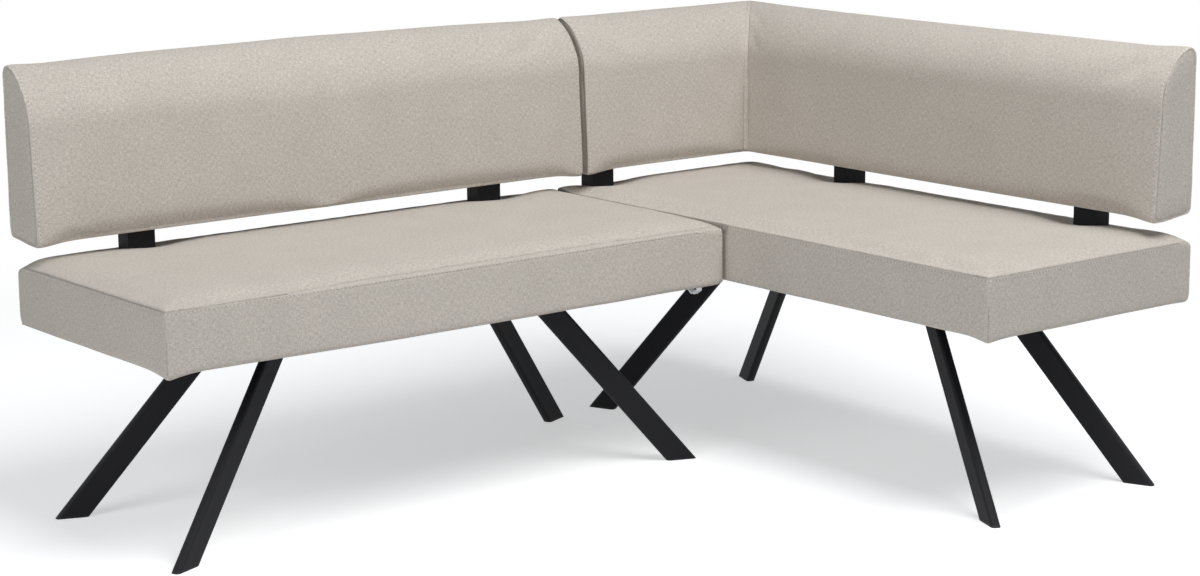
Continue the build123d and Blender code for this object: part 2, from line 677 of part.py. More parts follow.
short_form = pillow(-SHORT_WING_LENGTH, 0, BACK_END_DRAW, BACK_END_ROUND, 0, BACK_DEPTH_BOTTOM)
long_form = pillow(0, LONG_WING_LENGTH, 0, BACK_DEPTH_BOTTOM, BACK_END_DRAW, BACK_END_ROUND)
short_inside = BACK_COVER_END - SHORT_WING_LENGTH
long_inside = LONG_WING_LENGTH - BACK_COVER_END
short_foam = back_inside(short_inside + FOAM_CLEARANCE, 0, FOAM_CLEARANCE)
long_foam = back_inside(0, long_inside - FOAM_CLEARANCE, FOAM_CLEARANCE)
wings = {
    "short": (short_form - back_inside(short_inside, 0, 0), short_foam),
    "long": (WALL_B * (long_form - back_inside(0, long_inside, 0)), WALL_B * long_foam),
}
frame_rooms = frame_room(short_inside, 0) + WALL_B * frame_room(0, long_inside)
frame_blocks = frame_block(short_inside, -POST_REAR) + WALL_B * frame_block(BACK_COVER_REAR, long_inside)
for wing, (cover, foam) in wings.items():
    wedge = mitre_wedge(wing)
    cover = cover - wedge - frame_blocks
    foam = foam - wedge - frame_rooms
    for room in corner_rooms:
        cover -= room
        foam -= room
    nodes[f"corner_back_cover_{wing}_wing"] = cover
    nodes[f"corner_back_foam_{wing}_wing"] = foam
nodes["corner_back_frame_short_wing"] = back_frame(short_inside, -POST_REAR, [short_post])
long_frame = back_frame(BACK_COVER_REAR, long_inside, long_posts)
nodes["corner_back_frame_long_wing"] = WALL_B * long_frame

# Connector between the units

nodes["connector_jaws"] = connector_jaws()
nodes["connector_tongue"] = connector_tongue()
nodes["connector_pin"] = connector_pin(0)
screws = [connector_screw(p) for x in (STRAIGHT_SCREW_X, CORNER_SCREW_X) for p in connector_screw_points(x)]
nodes["connector_screws"] = Compound(children=screws)
screwed = [
    ("straight_seat_end_rail_2", STRAIGHT_SCREW_X),
    ("straight_dust_cloth", STRAIGHT_SCREW_X),
    ("corner_seat_front_rail", CORNER_SCREW_X),
    ("corner_dust_cloth", CORNER_SCREW_X),
]
for node, x in screwed:
    for hole in connector_screw_holes(x):
        nodes[node] -= hole

os.makedirs("parts", exist_ok=True)
for name, solid in nodes.items():
    export_step(TO_BENCH_ORIGIN * solid, f"parts/{name}.step")
print(len(nodes), "nodes, overall", OVERALL_LENGTH, "x", OVERALL_DEPTH, "x", BACK_TOP + BACK_CROWN)
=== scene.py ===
import math

import bmesh
import bpy
import numpy as np
from mathutils import Matrix, Vector, noise
from mathutils.bvhtree import BVHTree


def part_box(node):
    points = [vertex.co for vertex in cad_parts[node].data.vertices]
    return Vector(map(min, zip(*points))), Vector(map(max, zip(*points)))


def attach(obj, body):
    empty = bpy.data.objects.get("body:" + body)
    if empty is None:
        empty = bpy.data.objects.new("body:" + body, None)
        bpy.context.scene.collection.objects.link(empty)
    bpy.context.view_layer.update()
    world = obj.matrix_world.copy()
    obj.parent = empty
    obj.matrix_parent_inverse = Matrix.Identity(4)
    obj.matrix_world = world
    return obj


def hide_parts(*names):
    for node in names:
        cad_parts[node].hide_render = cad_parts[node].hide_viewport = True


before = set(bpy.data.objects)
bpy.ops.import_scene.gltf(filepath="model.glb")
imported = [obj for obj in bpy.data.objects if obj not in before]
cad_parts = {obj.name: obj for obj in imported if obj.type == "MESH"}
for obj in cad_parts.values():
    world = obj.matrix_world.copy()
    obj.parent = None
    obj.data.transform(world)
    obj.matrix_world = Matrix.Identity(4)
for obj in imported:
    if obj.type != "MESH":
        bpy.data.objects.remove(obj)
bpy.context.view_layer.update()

# Corner bench of two upholstered units. All lengths are in metres.

# Modelling: an edge's share along an axis to count as running along it, its least length in cells to be
# divided, how near a point counts as on a seam or on a rim, the least step along a row, and a place too far
# away to matter
ALONG_SHARE = 0.9
DIVIDE_OVER = 1.5
ON_SEAM = 1e-5
ON_RIM = 1e-6
LEAST_STEP = 1e-9
FAR = 10.0

# Seat pads
SEAT_TOP = 0.507
SEAT_CELL = 0.013
SEAT_CROWN = 0.014
SEAT_SHOULDER = 0.035
SEAT_SIDE_SWELL = 0.0012
SEAT_RIM_SWELL = 0.0010
SEAT_TUCK = 0.003
# Share of a pad's height above which its top moves as one
SEAT_UPPER = 0.6
HEM_LIFT = -0.002
HEM_RETURN = 0.006
CORNER_REACH = 0.040
# Each seat's own measures:
# rear, the axis that its rear side faces along, and rear_out, how far that side reaches beyond its CAD cover;
# rise, of its fuller rear edge, and rise_end, where that ends from its open end;
# post_dip, how deep its posts press it; front_sag, how far its front side sags;
# end_drop, how far its hem hangs at its open end; join_dip, how far its top dips to its other end;
# corners, by their sides in X and Y: plan radius, drop of the hem, drop of the top edge, radius of its turn
STRAIGHT_SEAT = {
    "rear": 1, "rear_out": 0.0, "rise": 0.0065, "rise_end": (1.05, 1.35),
    "post_dip": 0.008, "front_sag": 0.006, "end_drop": 0.0, "join_dip": 0.004,
    "corners": {
        (-1, -1): (0.003, 0.009, 0.0, 0.0),
        (1, -1): (0.012, 0.0, 0.003, 0.022),
        (-1, 1): (0.016, 0.0, 0.014, 0.026),
        (1, 1): (0.004, 0.0, -0.004, 0.018),
    },
}
CORNER_SEAT = {
    "rear": 0, "rear_out": 0.012, "rise": 0.0030, "rise_end": (0.50, 1.25),
    "post_dip": 0.012, "front_sag": 0.0, "end_drop": 0.005, "join_dip": 0.0,
    "corners": {
        (-1, -1): (0.003, 0.004, 0.0, 0.0),
        (1, -1): (0.016, 0.003, 0.010, 0.020),
        (-1, 1): (0.004, 0.0, -0.004, 0.018),
        (1, 1): (0.016, 0.0, 0.014, 0.018),
    },
}
# Depths below the top edge between which a side comes to follow its hem
HEM_FADE = (0.03, 0.11)
HEM_WAVE = 0.0014
HEM_WAVE_LENGTH = 0.14
SEAT_SEAM_DROP = 0.0060
SEAT_STITCH_DROP = 0.0115
POST_DIP_REACH = 0.070
POST_DIP_SHIFT = 0.030
# Fuller rear edge: how far it reaches in, and where it starts from a unit's open end
REAR_REACH = 0.045
REAR_RISE_START = (0.02, 0.12)
# Sagging front side: how far it reaches in, where it starts from a unit's open end, its share at the top edge
FRONT_SAG_REACH = 0.20
FRONT_SAG_START = (0.05, 0.45)
FRONT_SAG_TOP = 0.5
END_DROP_REACH = 0.06
JOIN_DIP_REACH = 0.09
# Painted shade on the edge where the seats meet: its width, its depth below the top edge, and how dark it is
JOIN_SHADE_WIDTH = 0.008
JOIN_SHADE_DROP = 0.020
JOIN_SHADE = 0.8

# Backrests, in a wall's own measures: depth out from the wall and height above the floor
BACK_CELL = 0.014
BACK_SWELL = 0.006
BACK_DEPTH_BOTTOM = 0.116
BACK_DEPTH_UPPER = 0.105
BACK_BOTTOM = 0.551
BACK_TOP = 0.891
BACK_BOW = 0.005
BACK_BOW_REACH = 0.35
BACK_ARC_HEIGHT = 0.130
BACK_ARC_RISE = 0.0255
BACK_TOP_RADIUS = 0.019
BACK_FRONT_RADIUS = 0.008
BACK_REAR_RADIUS = 0.010
BACK_FLAT = 0.002
BACK_REAR_FADE = 0.030
BACK_SEAM_SWELL = 0.0012
BACK_SWELL_REACH = 0.10
BACK_TIP_DROP = 0.008
BACK_TIP_REACH = 0.045
BACK_TIP_HEIGHT = 0.050
END_SEAM_INSET = 0.0034
END_STITCH_INSET = 0.0085
# Sections from a back's end panel, over its seam, to its full outline: distance from its end, and drawing in
BACK_END = [(0.0010, 0.0092), (END_SEAM_INSET, 0.0068), (0.0, 0.0042), (0.0014, 0.0014), (0.0075, 0.0)]
BACK_END_SEAM = 1
BACK_END_GRID = 10
# Points on a back's side outline: rear, top edge, arched front, plain front, front edge, base and rear edge
BACK_OUTLINE_COUNTS = (24, 3, 12, 15, 4, 8, 2)
# End of the straight back at the join: its reach beyond the CAD cover, and its share of the drawing in
JOIN_REACH = 0.011
JOIN_DRAWN_IN = 0.5

# Sewing
SEAM_WIDTH = 0.0038
SEAM_DEPTH = 0.0018
PLAIN_SEAM_DEPTH = 0.0016
STITCH_SINK = 0.0008
# Thread drawn thicker and longer than the real one, which would be too fine to show
STITCH_PITCH = 0.0085
STITCH_LENGTH = 0.0058
STITCH_THICKNESS = 0.0021
STITCH_SIDES = 6
STITCH_TAPER = 0.45
DOUBLE_STITCH_SPREAD = 0.0050
# How dark the painted shade in a crease is: a seam, a seam pressed flat and a row of stitches
SEAM_SHADE = 0.55
PLAIN_SEAM_SHADE = 0.4
STITCH_ROW_SHADE = 0.45
# Colour value of the fabric under the fullest painted shade
PAINTED_SHADE_VALUE = 0.58
MITRE_SEAM_SPREAD = 0.0044
PUCKER_DEPTH = 0.0008
PUCKER_LENGTH = 0.034
PUCKER_REACH = 0.030
PUCKER_LEAST = 0.02
PUCKER_SEED = 0.37

# Filling the covers with Cloth
FILL_PRESSURE = 4.0
FILL_FRAMES = 20
FILL_QUALITY = 6

# Fabric and studio
THREAD_PITCH = 0.0022
SLUB_STRETCH = 0.24
CLOUD_SIZE = 0.09
GLOSS_SPREAD = 0.06
FLOOR_RADIUS = 9.0
FLOOR_SIDES = 64
FLOOR_NEAR = 1.5
FLOOR_FAR = 3.2
FLOOR_LIFT = 0.52
AIR_LIGHT = 0.10
AIR_COLOUR = "#DDEFFF"
STUDIO_LAMPS = [
    ("key_softbox", (0.4, -1.8, 4.2), (0, 0, 0.6), (3.0, 3.0), 180.0),
    ("side_softbox", (-4.0, -0.5, 2.2), (0, 0, 0.6), (2.0, 2.0), 52.0),
]

# Photograph's viewpoint
VIEW_PLACE = (-3.1889, -3.9533, 1.4730)
VIEW_HEADING = 0.8968
VIEW_DOWN = 0.2027
VIEW_ROLL = 0.0068
VIEW_FOCAL_PIXELS = 2633.0
IMAGE_WIDTH = 1200.0
SENSOR_WIDTH = 36.0


# Small helpers

def only(piece):
    """Leaves one object selected and active."""
    bpy.ops.object.select_all(action="DESELECT")
    piece.select_set(True)
    bpy.context.view_layer.objects.active = piece


def mix(a, b, share):
    """Value between two others."""
    return a + (b - a) * share


def smooth_step(value, low, high):
    """0 below low, 1 above high, and an easy slope between."""
    share = min(max((value - low) / (high - low), 0.0), 1.0)
    return share * share * (3 - 2 * share)


def add_block(name, low, high):
    """Cube between two corners, with its place in its mesh."""
    bpy.ops.object.select_all(action="DESELECT")
    bpy.ops.mesh.primitive_cube_add(size=1, location=[mix(a, b, 0.5) for a, b in zip(low, high)])
    piece = bpy.context.object
    piece.name = name
    piece.scale = [b - a for a, b in zip(low, high)]
    bpy.ops.object.transform_apply(location=True, rotation=True, scale=True)
    return piece


def divide_along(piece, axis, cell):
    """Divides the edges that run along one axis into cells of about one size."""
    only(piece)
    bpy.ops.object.mode_set(mode="EDIT")
    bpy.ops.mesh.select_mode(type="EDGE")
    bpy.ops.mesh.select_all(action="DESELECT")
    mesh = bmesh.from_edit_mesh(piece.data)
    longest = 0.0
    for edge in mesh.edges:
        run = edge.verts[1].co - edge.verts[0].co
        if abs(run[axis]) > ALONG_SHARE * run.length and run.length > DIVIDE_OVER * cell:
            edge.select_set(True)
            longest = max(longest, run.length)
    bmesh.update_edit_mesh(piece.data)
    bpy.ops.mesh.subdivide(number_cuts=round(longest / cell) - 1)
    bpy.ops.object.mode_set(mode="OBJECT")


def subdivide_once(piece):
    """One round of subdivision, applied."""
    only(piece)
    piece.modifiers.new("Even out", "SUBSURF").levels = 1
    bpy.ops.object.modifier_apply(modifier="Even out")
    bpy.ops.object.shade_smooth()


# Padded pieces

def fill_cover(piece, held, travel):
    """Blows a cover up with Cloth. Held points stay, and the rest ease off at their travel on each axis."""
    start = [vert.co.copy() for vert in piece.data.vertices]
    only(piece)
    group = piece.vertex_groups.new(name="held")
    group.add([vert.index for vert in piece.data.vertices if held(vert.co)], 1.0, "REPLACE")
    cloth = piece.modifiers.new("Filling", "CLOTH")
    cloth.settings.quality = FILL_QUALITY
    cloth.settings.use_pressure = True
    cloth.settings.uniform_pressure_force = FILL_PRESSURE
    cloth.settings.effector_weights.gravity = 0
    cloth.settings.vertex_group_mass = group.name
    cloth.collision_settings.use_collision = False
    cloth.point_cache.frame_start = 1
    cloth.point_cache.frame_end = FILL_FRAMES
    for number in range(1, FILL_FRAMES + 1):
        bpy.context.scene.frame_set(number)
    bpy.ops.object.modifier_apply(modifier=cloth.name)
    bpy.context.scene.frame_set(1)
    piece.vertex_groups.clear()
    for vert, rest in zip(piece.data.vertices, start):
        for axis, limit in enumerate(travel(rest)):
            move = vert.co[axis] - rest[axis]
            vert.co[axis] = rest[axis] + (limit * math.tanh(move / limit) if limit > 0 else 0)


def pucker(piece, distance, along):
    """Small gathers beside a seam, which fade away from it."""
    mesh = bmesh.new()
    mesh.from_mesh(piece.data)
    mesh.normal_update()
    for vert in mesh.verts:
        fade = math.exp(-(distance(vert.co) / PUCKER_REACH) ** 2)
        if fade > PUCKER_LEAST:
            across = distance(vert.co) / PUCKER_REACH
            wave = noise.noise(Vector((along(vert.co) / PUCKER_LENGTH, across, PUCKER_SEED)))
            vert.co -= vert.normal * PUCKER_DEPTH * fade * (0.5 + wave)
    mesh.to_mesh(piece.data)
    mesh.free()


def select_near_plane(piece, point, normal, reach, keep):
    """Selects the faces that lie near a plane."""
    bpy.ops.mesh.select_mode(type="FACE")
    bpy.ops.mesh.select_all(action="DESELECT")
    mesh = bmesh.from_edit_mesh(piece.data)
    for face in mesh.faces:
        near = any(abs((vert.co - point).dot(normal)) < reach for vert in face.verts)
        if near and keep(face.calc_center_median()):
            face.select_set(True)
    bmesh.update_edit_mesh(piece.data)


def everywhere(co):
    """A seam that is sewn all the way round."""
    return True


def sew_seam(piece, point, normal, keep=everywhere, depth=SEAM_DEPTH, shade=SEAM_SHADE):
    """Sinks a fine seam where a plane crosses a cover, and marks how much painted shade its crease gets."""
    point = Vector(point)
    normal = Vector(normal).normalized()
    only(piece)
    bpy.ops.object.mode_set(mode="EDIT")
    for shift in (-0.5, 0.5, 0.0):
        select_near_plane(piece, point, normal, SEAT_CELL, keep)
        bpy.ops.mesh.bisect(plane_co=point + normal * shift * SEAM_WIDTH, plane_no=normal)
    bpy.ops.mesh.select_mode(type="VERT")
    bpy.ops.mesh.select_all(action="DESELECT")
    mesh = bmesh.from_edit_mesh(piece.data)
    # Painted shade in the seam's crease, kept on the mesh for the fabric to darken its colour
    painted_shade = mesh.verts.layers.float.get("painted_shade") or mesh.verts.layers.float.new("painted_shade")
    for vert in mesh.verts:
        if abs((vert.co - point).dot(normal)) < ON_SEAM and keep(vert.co):
            vert.select_set(True)
            vert[painted_shade] = max(vert[painted_shade], shade)
    bmesh.update_edit_mesh(piece.data)
    bpy.ops.transform.shrink_fatten(value=-depth)
    bpy.ops.object.mode_set(mode="OBJECT")


def lines_across(piece, point, normal, keep):
    """Rows of points, in order, where a plane crosses a cover."""
    mesh = bmesh.new()
    mesh.from_mesh(piece.data)
    geometry = mesh.verts[:] + mesh.edges[:] + mesh.faces[:]
    cut = bmesh.ops.bisect_plane(mesh, geom=geometry, plane_co=point, plane_no=normal)["geom_cut"]
    mesh.verts.index_update()
    links = {}
    for edge in cut:
        if isinstance(edge, bmesh.types.BMEdge):
            a, b = edge.verts
            if keep((a.co + b.co) / 2):
                links.setdefault(a.index, []).append(b.index)
                links.setdefault(b.index, []).append(a.index)
    mesh.verts.ensure_lookup_table()
    places = {index: mesh.verts[index].co.copy() for index in links}
    mesh.free()
    rows = []
    left = set(links)
    ends = sorted(index for index in left if len(links[index]) == 1)
    for first in ends + sorted(left):
        if first not in left:
            continue
        row = [first]
        left.discard(first)
        while True:
            onward = [index for index in links[row[-1]] if index in left]
            if not onward:
                break
            row.append(onward[0])
            left.discard(onward[0])
        if len(links[first]) > 1 and first in links[row[-1]]:
            row.append(first)
        rows.append([places[index] for index in row])
    return rows


def evenly(row, pitch):
    """Points and directions at an even pitch along a row of points."""
    places = []
    carried = pitch / 2
    for a, b in zip(row[:-1], row[1:]):
        length = (b - a).length
        if length < LEAST_STEP:
            continue
        along = (b - a) / length
        while carried < length:
            places.append((a + along * carried, along))
            carried += pitch
        carried -= length
    return places


def stitch_shape():
    """One stitch: a short length of thread, thinner at its ends, where it dives into the cloth."""
    bpy.ops.object.select_all(action="DESELECT")
    bpy.ops.mesh.primitive_cylinder_add(
        vertices=STITCH_SIDES, radius=STITCH_THICKNESS / 2, depth=STITCH_LENGTH, rotation=(0, math.pi / 2, 0)
    )
    piece = bpy.context.object
    bpy.ops.object.transform_apply(location=True, rotation=True, scale=True)
    divide_along(piece, 0, STITCH_LENGTH / 4)
    for vert in piece.data.vertices:
        share = abs(vert.co.x) / (STITCH_LENGTH / 2)
        taper = STITCH_TAPER * share ** 2
        vert.co.y *= 1 - taper
        vert.co.z = vert.co.z * (1 - taper) - STITCH_THICKNESS * taper
    shape = piece.data
    bpy.data.objects.remove(piece)
    return shape


def topstitch(name, piece, planes, shape):
    """Rows of stitches on a cover, one row for each plane, all in one mesh."""
    tree = BVHTree.FromObject(piece, bpy.context.evaluated_depsgraph_get())
    corners = np.array([vert.co for vert in shape.vertices])
    faces = [list(face.vertices) for face in shape.polygons]
    points, sides = [], []
    for point, normal, keep in planes:
        for row in lines_across(piece, Vector(point), Vector(normal), keep):
            for place, along in evenly(row, STITCH_PITCH):
                outward = tree.find_nearest(place)[1]
                across = outward.cross(along).normalized()
                turn = np.array([along, across, along.cross(across)])
                first = len(points) * len(corners)
                points.append(corners @ turn + np.array(place))
                sides += [[index + first for index in face] for face in faces]
    mesh = bpy.data.meshes.new(name)
    mesh.from_pydata(np.concatenate(points), [], sides)
    stitches = bpy.data.objects.new(name, mesh)
    bpy.context.scene.collection.objects.link(stitches)
    only(stitches)
    bpy.ops.object.shade_smooth()
    return stitches


def lay_weave(piece):
    """Gives a cover a UV map in metres, so that the threads run along its panels."""
    only(piece)
    bpy.ops.object.mode_set(mode="EDIT")
    bpy.ops.mesh.select_all(action="SELECT")
    bpy.ops.uv.cube_project(cube_size=1.0, correct_aspect=False, scale_to_bounds=False)
    bpy.ops.object.mode_set(mode="OBJECT")
    piece.data.uv_layers[0].name = "weave"


def finish_cover(piece, rows, stitch):
    """Sinks and topstitches a cover's rows, paints shade along them, and lays its weave."""
    for row in rows:
        sew_seam(piece, *row, depth=STITCH_SINK, shade=STITCH_ROW_SHADE)
    stitches = topstitch(piece.name + "_topstitch", piece, rows, stitch)
    lay_weave(piece)
    return stitches


def round_corner(co, corner):
    """Slides a point of a pad's square corner onto a round one, in plan."""
    x, y, side_x, side_y, radius = corner[:5]
    u = 1 - (co.x - x) * side_x / radius
    v = 1 - (co.y - y) * side_y / radius
    if u > 0 and v > 0:
        co.x = x + side_x * radius * (1 - u * math.sqrt(1 - v * v / 2))
        co.y = y + side_y * radius * (1 - v * math.sqrt(1 - u * u / 2))


def seat_corners(low, high, shapes):
    """Corners of a seat pad: place, direction inwards and shape."""
    corners = []
    for (side_x, side_y), shape in shapes.items():
        x = low.x if side_x < 0 else high.x
        y = low.y if side_y < 0 else high.y
        corners.append((x, y, -side_x, -side_y, *shape))
    return corners


def edge_distance(co, low, high):
    """Distance of a point from the nearest side of a pad, in plan."""
    return max(min(co.x - low.x, high.x - co.x, co.y - low.y, high.y - co.y), 0)


def seat_pad(name, low, high, corners):
    """Boxed seat pad with a crown, rounded corners, sides drawn in and its hem turned under."""
    piece = add_block(name, low, high)
    for axis in range(3):
        divide_along(piece, axis, SEAT_CELL)
    middle = (low + high) / 2
    hem = low.z + 0.5 * SEAT_CELL
    for vert in piece.data.vertices:
        for corner in corners:
            round_corner(vert.co, corner)
        if vert.co.z < hem:
            if edge_distance(vert.co, low, high) > 0.5 * SEAT_CELL:
                vert.co.z += HEM_RETURN
            for axis in (0, 1):
                half = (high[axis] - low[axis]) / 2
                vert.co[axis] = middle[axis] + (vert.co[axis] - middle[axis]) * (1 - SEAT_TUCK / half)

    def travel(co):
        if co.z < hem:
            return 0, 0, 0
        rise = SEAT_CROWN * (1 - math.exp(-edge_distance(co, low, high) / SEAT_SHOULDER))
        return SEAT_SIDE_SWELL, SEAT_SIDE_SWELL, SEAT_RIM_SWELL + rise

    fill_cover(piece, lambda co: co.z < hem, travel)
    return piece


def settle_seat(piece, low, high, seat, corners, posts):
    """Settles a filled seat pad: its hem and corners, fuller rear, sagging front and a dip at each post."""
    rear = seat["rear"]
    for vert in piece.data.vertices:
        co = vert.co
        upper = smooth_step(co.z, mix(low.z, high.z, SEAT_UPPER), high.z)
        lower = smooth_step(high.z - co.z, *HEM_FADE)
        side = lower if edge_distance(co, low, high) < 0.5 * SEAT_CELL else 0
        co.z -= side * HEM_WAVE * noise.noise(Vector((co.x, co.y, 0)) / HEM_WAVE_LENGTH)
        for x, y, _, _, _, hem_drop, top_drop, turn in corners:
            gap = math.hypot(co.x - x, co.y - y)
            near = math.exp(-(gap / CORNER_REACH) ** 2)
            co.z -= near * (hem_drop * side + top_drop * upper)
            if gap < turn:
                co.z += lower * (turn - math.sqrt(turn ** 2 - (turn - gap) ** 2))
        from_end = co[1 - rear] - low[1 - rear]
        if upper > 0 or side > 0:
            front = 1 - smooth_step(co[rear] - low[rear], 0, FRONT_SAG_REACH)
            sag = seat["front_sag"] * front * smooth_step(from_end, *FRONT_SAG_START)
            co.z -= sag * mix(1, FRONT_SAG_TOP, upper)
        co.z -= seat["end_drop"] * side * (1 - smooth_step(from_end, 0, END_DROP_REACH))
        co.z -= seat["join_dip"] * upper * (1 - smooth_step(high[1 - rear] - co[1 - rear], 0, JOIN_DIP_REACH))
        full = smooth_step(from_end, *REAR_RISE_START) * (1 - smooth_step(from_end, *seat["rise_end"]))
        co.z += upper * seat["rise"] * full * (1 - smooth_step(high[rear] - co[rear], 0, REAR_REACH))
        inside = smooth_step(min(high.x - co.x, high.y - co.y), 0, REAR_REACH)
        for x, y in posts:
            gap = ((co.x - x) ** 2 + (co.y - y) ** 2) / POST_DIP_REACH ** 2
            co.z -= upper * inside * seat["post_dip"] * math.exp(-gap)
    subdivide_once(piece)
    seam = high.z - SEAT_SEAM_DROP
    pucker(piece, lambda co: abs(co.z - seam), lambda co: co.x + co.y)


def corner_rows(corners, low, high, spread):
    """Upright planes along a pad's corner seams, moved sideways by a spread, and where each one is sewn."""
    rows = []
    for x, y, side_x, side_y, radius, *_ in corners:
        sideways = Vector((-side_y, side_x, 0)).normalized()
        corner = Vector((x, y, 0))

        def keep(co, corner=corner, reach=radius + DOUBLE_STITCH_SPREAD):
            near = (Vector((co.x, co.y, 0)) - corner).length < reach
            return near and low.z + SEAM_WIDTH < co.z < high.z - SEAT_SEAM_DROP - SEAM_WIDTH

        rows.append((corner + sideways * spread, sideways, keep))
    return rows


def shade_join(piece, low, high):
    """Paints shade on a seat's top edge where another seat, whose box is given, is pressed against it."""
    painted_shades = piece.data.attributes["painted_shade"].data
    for vert in piece.data.vertices:
        beside = low.y < vert.co.y < high.y and abs(vert.co.x - high.x) < JOIN_SHADE_WIDTH
        if beside and vert.co.z > SEAT_TOP - JOIN_SHADE_DROP:
            painted_shades[vert.index].value = max(painted_shades[vert.index].value, JOIN_SHADE)


def sewn_seat(name, node, seat, posts, stitch):
    """Seat pad in place of a unit's CAD cover, with its seams and its topstitching."""
    low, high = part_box(node)
    low.z += HEM_LIFT
    high.z = SEAT_TOP
    high[seat["rear"]] += seat["rear_out"]
    corners = seat_corners(low, high, seat["corners"])
    piece = seat_pad(name, low, high, corners)
    settle_seat(piece, low, high, seat, corners, posts)
    sew_seam(piece, (0, 0, high.z - SEAT_SEAM_DROP), (0, 0, 1))
    for row in corner_rows(corners, low, high, 0):
        sew_seam(piece, *row)
    rows = [((0, 0, high.z - SEAT_STITCH_DROP), (0, 0, 1), everywhere)]
    for spread in (-DOUBLE_STITCH_SPREAD, DOUBLE_STITCH_SPREAD):
        rows += corner_rows(corners, low, high, spread)
    stitches = finish_cover(piece, rows, stitch)
    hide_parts(node)
    return piece, stitches


# Backrests

def arc_points(start, middle, end, count):
    """Points on the arc through three points, without its first point."""
    ax, ay = start
    bx, by = middle
    cx, cy = end
    d = 2 * (ax * (by - cy) + bx * (cy - ay) + cx * (ay - by))
    sa, sb, sc = ax * ax + ay * ay, bx * bx + by * by, cx * cx + cy * cy
    centre_x = (sa * (by - cy) + sb * (cy - ay) + sc * (ay - by)) / d
    centre_y = (sa * (cx - bx) + sb * (ax - cx) + sc * (bx - ax)) / d
    centre = Vector((centre_x, centre_y))
    first = Vector(start) - centre
    sweep = first.angle_signed(Vector(end) - centre)
    points = []
    for number in range(1, count + 1):
        turn = -sweep * number / count
        c, s = math.cos(turn), math.sin(turn)
        points.append((centre.x + c * first.x - s * first.y, centre.y + s * first.x + c * first.y))
    return points


def line_points(start, end, count):
    """Points on a straight line, without its first point."""
    return [(mix(start[0], end[0], n / count), mix(start[1], end[1], n / count)) for n in range(1, count + 1)]


def back_outline(drawn_in):
    """Side outline of a backrest as (depth, height) points, drawn in all round by a little."""
    low = BACK_BOTTOM + drawn_in
    high = BACK_TOP - drawn_in
    rear = drawn_in
    base = BACK_DEPTH_BOTTOM - drawn_in
    waist = BACK_DEPTH_UPPER - drawn_in
    crest = rear + BACK_TOP_RADIUS
    foot = BACK_TOP - BACK_ARC_HEIGHT
    # Share of a round edge's radius at which its middle lies, in depth and in height
    k = 1 - math.sqrt(0.5)
    r1, r2, r3 = BACK_TOP_RADIUS, BACK_FRONT_RADIUS, BACK_REAR_RADIUS
    n1, n2, n3, n4, n5, n6, n7 = BACK_OUTLINE_COUNTS
    chord = Vector((waist - crest, foot - high))
    bow = Vector((-chord.y, chord.x)).normalized() * BACK_ARC_RISE
    bow_middle = Vector((crest, high)) + chord / 2 + bow
    points = line_points((rear, low + r3), (rear, high - r1), n1)
    points += arc_points((rear, high - r1), (rear + r1 * k, high - r1 * k), (crest, high), n2)
    points += arc_points((crest, high), bow_middle, (waist, foot), n3)
    points += line_points((waist, foot), (base, low + r2), n4)
    points += arc_points((base, low + r2), (base - r2 * k, low + r2 * k), (base - r2, low), n5)
    points += line_points((base - r2, low), (rear + r3, low), n6)
    points += arc_points((rear + r3, low), (rear + r3 * k, low + r3 * k), (rear, low + r3), n7)
    return points


def draw_out(name, stations, seams):
    """Cover drawn out through a row of outlines, one extrude for each, and closed at both ends. The outlines
    that are seams carry painted shade for their creases."""
    bpy.ops.object.select_all(action="DESELECT")
    bpy.ops.mesh.primitive_circle_add(vertices=len(stations[0]), fill_type="NOTHING")
    piece = bpy.context.object
    piece.name = name
    bpy.ops.object.mode_set(mode="EDIT")
    bpy.ops.mesh.select_mode(type="VERT")
    bpy.ops.mesh.select_all(action="SELECT")
    mesh = bmesh.from_edit_mesh(piece.data)
    mesh.verts.layers.float.new("painted_shade")
    rib = mesh.verts.layers.int.new("rib")
    for number, vert in enumerate(mesh.verts):
        vert[rib] = number
        vert.co = stations[0][number]
    bmesh.update_edit_mesh(piece.data)
    for outline in stations[1:]:
        bpy.ops.mesh.extrude_region()
        mesh = bmesh.from_edit_mesh(piece.data)
        rib = mesh.verts.layers.int["rib"]
        painted_shade = mesh.verts.layers.float["painted_shade"]
        for vert in mesh.verts:
            if vert.select:
                vert.co = outline[vert[rib]]
                # Painted shade along the seam outlines, none elsewhere
                vert[painted_shade] = SEAM_SHADE if outline in seams else 0.0
        bmesh.update_edit_mesh(piece.data)
    for outline in (stations[0], stations[-1]):
        bpy.ops.mesh.select_mode(type="EDGE")
        bpy.ops.mesh.select_all(action="DESELECT")
        mesh = bmesh.from_edit_mesh(piece.data)
        rib = mesh.verts.layers.int["rib"]
        for edge in mesh.edges:
            if edge.is_boundary and all((v.co - outline[v[rib]]).length < ON_RIM for v in edge.verts):
                edge.select_set(True)
        bmesh.update_edit_mesh(piece.data)
        bpy.ops.mesh.fill_grid(span=BACK_END_GRID, offset=0)
    bpy.ops.mesh.select_all(action="SELECT")
    bpy.ops.mesh.normals_make_consistent(inside=False)
    bpy.ops.object.mode_set(mode="OBJECT")
    return piece


